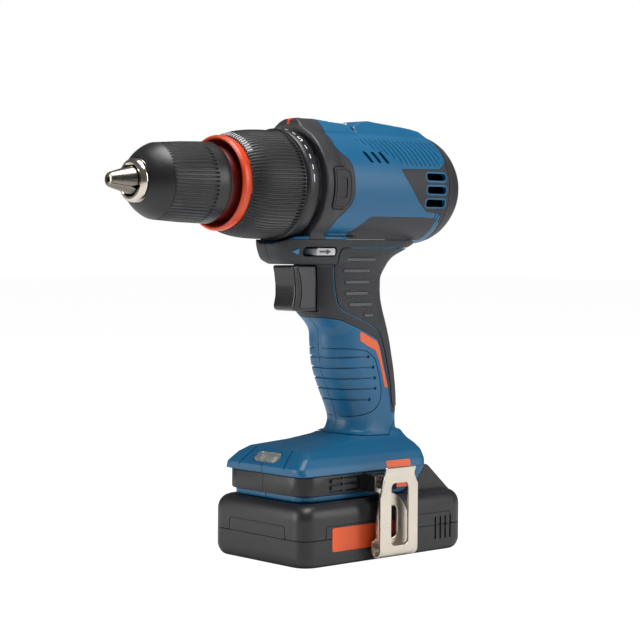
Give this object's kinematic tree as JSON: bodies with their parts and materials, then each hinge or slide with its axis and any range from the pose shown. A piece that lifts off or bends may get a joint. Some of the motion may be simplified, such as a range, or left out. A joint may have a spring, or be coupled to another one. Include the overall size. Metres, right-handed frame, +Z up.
{
  "type": "cordless drill",
  "caption": "Pistol-grip cordless drill driver with a keyless three-jaw chuck, torque collar, mode ring, trigger, belt clip and a slide-off battery pack.",
  "frame": {"origin": "middle of the battery pack's flat underside, on the surface that the drill stands on", "axes": "+Z up, -Y out of the chuck's nose along the spindle, +X to the drill's left side, where the belt clip is"},
  "size_m": [0.087, 0.2336, 0.2365],
  "materials": {
    "blue_plastic": "satin moulded petrol blue",
    "soft_grip": "matt charcoal soft overmould with fine dots",
    "charcoal_plastic": "fine-textured charcoal",
    "black_plastic": "satin black",
    "gloss_black": "half gloss black",
    "orange_plastic": "orange, half gloss",
    "grey_plastic": "light grey",
    "clear_lens": "clear lamp lens",
    "steel": "plain steel",
    "dark_steel": "dark hardened steel",
    "nickel": "warm satin nickel",
    "aluminium": "die cast",
    "brass": "contact metal in its moulded holder",
    "cell_wrap": "shrink sleeve",
    "circuit_board": "coated board"
  },
  "bodies": {
    "housing": {"housing_left": "blue_plastic", "housing_right": "blue_plastic", "grip_overmould_left": "soft_grip", "grip_overmould_right": "soft_grip", "front_cover": "charcoal_plastic", "tail_cap": "charcoal_plastic", "case_screw_handle_top": "dark_steel", "case_screw_handle_low": "dark_steel", "case_screw_foot": "dark_steel", "case_screw_barrel": "dark_steel", "lamp_lens": "clear_lens", "foot_band_left": "black_plastic", "foot_band_right": "black_plastic", "belt_clip": "nickel", "clip_screw": "dark_steel", "gear_case": "aluminium", "gearbox_plate": "aluminium", "spindle_bearing": "steel", "clutch_spring": "steel", "ring_gear_front": "steel", "ring_gear_rear": "steel", "motor_can": "steel", "motor_end_cap": "black_plastic", "rear_bearing": "steel", "switch_module": "black_plastic", "terminal_block": "brass"},
    "spindle": {"spindle": "steel", "chuck_body": "nickel", "chuck_screw": "dark_steel"},
    "sleeve": {"chuck_sleeve": "black_plastic", "chuck_nose": "black_plastic", "jaw_nut": "steel"},
    "jaw_1": {"chuck_jaw_1": "dark_steel"},
    "jaw_2": {"chuck_jaw_2": "dark_steel"},
    "jaw_3": {"chuck_jaw_3": "dark_steel"},
    "rear_carrier": {"rear_carrier": "steel"},
    "rotor": {"motor_rotor": "dark_steel", "motor_pinion": "steel", "motor_fan": "black_plastic"},
    "collar": {"torque_collar": "black_plastic"},
    "mode_ring": {"mode_ring": "orange_plastic"},
    "trigger": {"trigger": "gloss_black", "trigger_spring": "steel"},
    "selector": {"direction_selector": "grey_plastic"},
    "speed_switch": {"speed_switch": "grey_plastic"},
    "battery": {"battery_lower_case": "charcoal_plastic", "battery_upper_case": "charcoal_plastic", "battery_cell_1": "cell_wrap", "battery_cell_2": "cell_wrap", "battery_cell_3": "cell_wrap", "battery_cell_4": "cell_wrap", "battery_cell_5": "cell_wrap", "battery_board": "circuit_board"},
    "release_button": {"release_button": "black_plastic"},
    "planet_front_1": {"planet_gear_front_1": "steel"},
    "planet_front_2": {"planet_gear_front_2": "steel"},
    "planet_front_3": {"planet_gear_front_3": "steel"},
    "planet_rear_1": {"planet_gear_rear_1": "steel"},
    "planet_rear_2": {"planet_gear_rear_2": "steel"},
    "planet_rear_3": {"planet_gear_rear_3": "steel"}
  },
  "joints": [
    {"name": "spindle_spin", "type": "hinge", "parent": "housing", "child": "spindle", "pos_m": [0, -0.1, 0.2], "axis": [0, -1, 0], "continuous": true},
    {"name": "sleeve_turn", "type": "hinge", "parent": "spindle", "child": "sleeve", "pos_m": [0, -0.11, 0.2], "axis": [0, -1, 0], "range_deg": [0, 2880]},
    {"name": "jaw_slide_1", "type": "slide", "parent": "spindle", "child": "jaw_1", "axis": [0, 0.9636, -0.2672], "range_m": [0, 0.024]},
    {"name": "jaw_slide_2", "type": "slide", "parent": "spindle", "child": "jaw_2", "axis": [-0.2314, 0.9636, 0.1336], "range_m": [0, 0.024]},
    {"name": "jaw_slide_3", "type": "slide", "parent": "spindle", "child": "jaw_3", "axis": [0.2314, 0.9636, 0.1336], "range_m": [0, 0.024]},
    {"name": "rear_carrier_spin", "type": "hinge", "parent": "housing", "child": "rear_carrier", "pos_m": [0, -0.015, 0.2], "axis": [0, -1, 0], "continuous": true},
    {"name": "planet_front_1_spin", "type": "hinge", "parent": "spindle", "child": "planet_front_1", "pos_m": [0, -0.0237, 0.18516], "axis": [0, -1, 0], "continuous": true},
    {"name": "planet_front_2_spin", "type": "hinge", "parent": "spindle", "child": "planet_front_2", "pos_m": [-0.01285, -0.0237, 0.20742], "axis": [0, -1, 0], "continuous": true},
    {"name": "planet_front_3_spin", "type": "hinge", "parent": "spindle", "child": "planet_front_3", "pos_m": [0.01285, -0.0237, 0.20742], "axis": [0, -1, 0], "continuous": true},
    {"name": "planet_rear_1_spin", "type": "hinge", "parent": "rear_carrier", "child": "planet_rear_1", "pos_m": [0, -0.0079, 0.18516], "axis": [0, -1, 0], "continuous": true},
    {"name": "planet_rear_2_spin", "type": "hinge", "parent": "rear_carrier", "child": "planet_rear_2", "pos_m": [-0.01285, -0.0079, 0.20742], "axis": [0, -1, 0], "continuous": true},
    {"name": "planet_rear_3_spin", "type": "hinge", "parent": "rear_carrier", "child": "planet_rear_3", "pos_m": [0.01285, -0.0079, 0.20742], "axis": [0, -1, 0], "continuous": true},
    {"name": "motor_spin", "type": "hinge", "parent": "housing", "child": "rotor", "pos_m": [0, 0.03, 0.2], "axis": [0, -1, 0], "continuous": true},
    {"name": "collar_turn", "type": "hinge", "parent": "housing", "child": "collar", "pos_m": [0, -0.06, 0.2], "axis": [0, -1, 0], "range_deg": [-148, 84]},
    {"name": "mode_turn", "type": "hinge", "parent": "housing", "child": "mode_ring", "pos_m": [0, -0.085, 0.2], "axis": [0, -1, 0], "range_deg": [-30, 30]},
    {"name": "trigger_pull", "type": "slide", "parent": "housing", "child": "trigger", "axis": [0, 1, 0], "range_m": [0, 0.007], "stiffness_N_per_m": 1000, "springref_m": -0.004},
    {"name": "selector_slide", "type": "slide", "parent": "housing", "child": "selector", "axis": [0, -1, 0], "range_m": [-0.0015, 0.0062]},
    {"name": "speed_slide", "type": "slide", "parent": "housing", "child": "speed_switch", "axis": [0, -1, 0], "range_m": [0, 0.006]},
    {"name": "battery_slide", "type": "slide", "parent": "housing", "child": "battery", "axis": [0, 1, 0], "range_m": [0, 0.12]},
    {"name": "release_press", "type": "slide", "parent": "battery", "child": "release_button", "axis": [0, -0.6438, -0.7652], "range_m": [0, 0.0022], "stiffness_N_per_m": 1500, "springref_m": -0.001}
  ],
  "couplings": [
    {"joint": "jaw_slide_1", "follows": "sleeve_turn", "m_per_rad": 0.00047746},
    {"joint": "jaw_slide_2", "follows": "sleeve_turn", "m_per_rad": 0.00047746},
    {"joint": "jaw_slide_3", "follows": "sleeve_turn", "m_per_rad": 0.00047746},
    {"joint": "rear_carrier_spin", "follows": "spindle_spin", "ratio": 4},
    {"joint": "planet_front_1_spin", "follows": "spindle_spin", "ratio": -3},
    {"joint": "planet_front_2_spin", "follows": "spindle_spin", "ratio": -3},
    {"joint": "planet_front_3_spin", "follows": "spindle_spin", "ratio": -3},
    {"joint": "planet_rear_1_spin", "follows": "spindle_spin", "ratio": -12},
    {"joint": "planet_rear_2_spin", "follows": "spindle_spin", "ratio": -12},
    {"joint": "planet_rear_3_spin", "follows": "spindle_spin", "ratio": -12},
    {"joint": "motor_spin", "follows": "spindle_spin", "ratio": 16}
  ]
}
